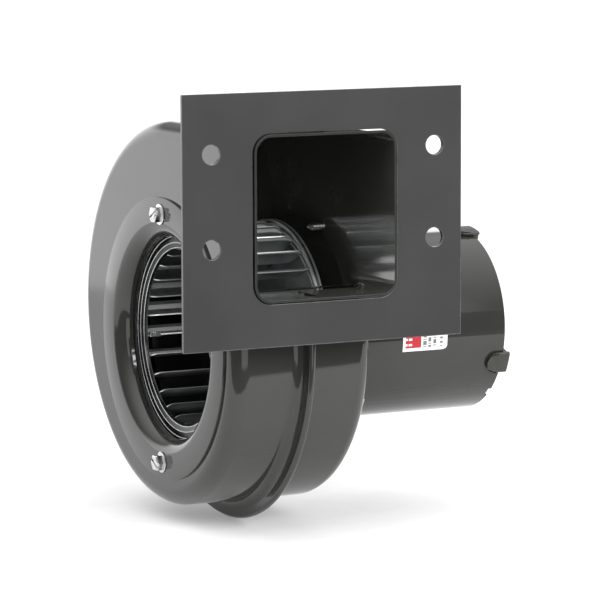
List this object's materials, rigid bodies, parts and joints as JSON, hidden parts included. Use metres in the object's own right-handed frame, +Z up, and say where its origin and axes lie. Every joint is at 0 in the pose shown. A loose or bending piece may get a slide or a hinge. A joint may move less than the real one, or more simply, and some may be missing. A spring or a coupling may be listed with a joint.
{
  "type": "combustion fan",
  "caption": "Centrifugal draft blower: pressed scroll housing with a rectangular flanged outlet, bell-mouth inlet, forward-curved wheel and round shaded-pole motor.",
  "frame": {"origin": "centre of the four flange holes, on the outlet flange's front face", "axes": "+X along the shaft from the inlet towards the motor, -Y out of the outlet, +Z up"},
  "size_m": [0.1791, 0.1813, 0.1896],
  "materials": {
    "housing_enamel": "gloss grey-black enamel",
    "flange_enamel": "gloss grey-black enamel",
    "motor_enamel": "gloss grey-black enamel",
    "zinc_plate": "bright zinc plate",
    "shield_steel": "plain pressed steel",
    "sintered_bronze": "oil-filled sintered bronze",
    "oil_felt": "felt",
    "spring_steel": "bright spring steel",
    "lamination_steel": "stacked laminations",
    "nylon": "natural nylon",
    "copper_winding": "enamelled copper wire",
    "copper": "bare copper",
    "black_plastic": "matt black",
    "black_rubber": "matt black rubber",
    "olive_plastic": "moulded olive-black",
    "label_film": "white label film",
    "ground_steel": "ground steel",
    "galvanised_steel": "galvanised sheet",
    "hub_steel": "turned steel",
    "black_oxide": "black oxide",
    "cast_aluminium": "cast"
  },
  "bodies": {
    "housing": {"outlet_flange": "flange_enamel", "neck_weld_beads": "housing_enamel", "scroll_inlet_half": "housing_enamel", "scroll_motor_half": "housing_enamel", "inlet_ring": "housing_enamel", "inlet_ring_screws": "zinc_plate", "motor_plate": "housing_enamel", "motor_plate_screws": "zinc_plate", "motor_shell": "motor_enamel", "front_end_shield": "shield_steel", "rear_end_shield": "motor_enamel", "front_bearing": "sintered_bronze", "rear_bearing": "sintered_bronze", "front_oil_felt": "oil_felt", "rear_oil_felt": "oil_felt", "front_felt_retainer": "spring_steel", "rear_felt_retainer": "spring_steel", "stator_core": "lamination_steel", "coil_bobbins": "nylon", "stator_coils": "copper_winding", "shading_rings": "copper", "thermal_protector": "black_plastic", "through_bolts": "zinc_plate", "through_bolt_nuts": "zinc_plate", "lead_grommet": "black_rubber", "end_clips": "olive_plastic", "rating_label": "label_film"},
    "rotor": {"shaft": "ground_steel", "wheel_blades": "galvanised_steel", "wheel_inlet_rim": "galvanised_steel", "wheel_back_disc": "galvanised_steel", "wheel_hub": "hub_steel", "hub_set_screw": "black_oxide", "wheel_balance_clips": "spring_steel", "rotor_core": "lamination_steel", "rotor_cage": "cast_aluminium", "front_thrust_washer": "nylon", "rear_thrust_washer": "nylon", "shaft_retaining_rings": "black_oxide"}
  },
  "joints": [
    {"name": "wheel_spin", "type": "hinge", "parent": "housing", "child": "rotor", "pos_m": [0, 0.0875, -0.0664], "axis": [1, 0, 0], "continuous": true}
  ]
}
